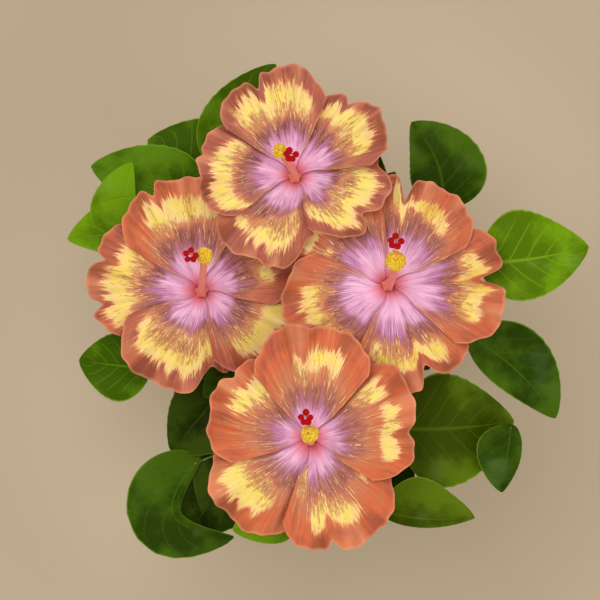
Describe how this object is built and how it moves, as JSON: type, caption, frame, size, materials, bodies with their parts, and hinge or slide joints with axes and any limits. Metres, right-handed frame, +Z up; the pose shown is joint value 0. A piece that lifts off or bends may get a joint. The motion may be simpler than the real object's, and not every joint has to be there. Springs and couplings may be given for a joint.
{
  "type": "hibiscus shrub",
  "caption": "Small rooted hibiscus shrub: a short branched woody stem, a low leafy crown and wide ruffled blooms that face upward.",
  "frame": {"origin": "centre of the flat cut under the stem, at ground level", "axes": "+Z up; +Y north, the side of bloom_north and the way the flower columns bend; +X east"},
  "size_m": [0.4617, 0.4397, 0.4346],
  "materials": {
    "bark": "rough grey-brown bark",
    "foliage": "satin leaf green with paler veins",
    "petal": "silky coral and dusty rose with a lilac centre and cream-yellow flames",
    "column": "matt salmon pink",
    "anthers": "powdery golden yellow",
    "stigmas": "velvety bright red",
    "calyx": "matt light green"
  },
  "bodies": {
    "root": {"trunk": "bark", "bough_north": "bark", "bough_west": "bark", "bough_east": "bark", "bough_south": "bark", "bough_low_northeast": "bark", "bough_low_northwest": "bark", "bough_low_southwest": "bark", "bough_low_southeast": "bark", "foliage_north": "foliage", "bloom_north_petal_1": "petal", "bloom_north_petal_2": "petal", "bloom_north_petal_3": "petal", "bloom_north_petal_4": "petal", "bloom_north_petal_5": "petal", "bloom_north_column": "column", "bloom_north_anthers": "anthers", "bloom_north_stigmas": "stigmas", "bloom_north_calyx": "calyx", "foliage_west": "foliage", "bloom_west_petal_1": "petal", "bloom_west_petal_2": "petal", "bloom_west_petal_3": "petal", "bloom_west_petal_4": "petal", "bloom_west_petal_5": "petal", "bloom_west_column": "column", "bloom_west_anthers": "anthers", "bloom_west_stigmas": "stigmas", "bloom_west_calyx": "calyx", "foliage_east": "foliage", "bloom_east_petal_1": "petal", "bloom_east_petal_2": "petal", "bloom_east_petal_3": "petal", "bloom_east_petal_4": "petal", "bloom_east_petal_5": "petal", "bloom_east_column": "column", "bloom_east_anthers": "anthers", "bloom_east_stigmas": "stigmas", "bloom_east_calyx": "calyx", "foliage_south": "foliage", "bloom_south_petal_1": "petal", "bloom_south_petal_2": "petal", "bloom_south_petal_3": "petal", "bloom_south_petal_4": "petal", "bloom_south_petal_5": "petal", "bloom_south_column": "column", "bloom_south_anthers": "anthers", "bloom_south_stigmas": "stigmas", "bloom_south_calyx": "calyx", "foliage_low_northeast": "foliage", "foliage_low_northwest": "foliage", "foliage_low_southwest": "foliage", "foliage_low_southeast": "foliage"}
  },
  "joints": []
}
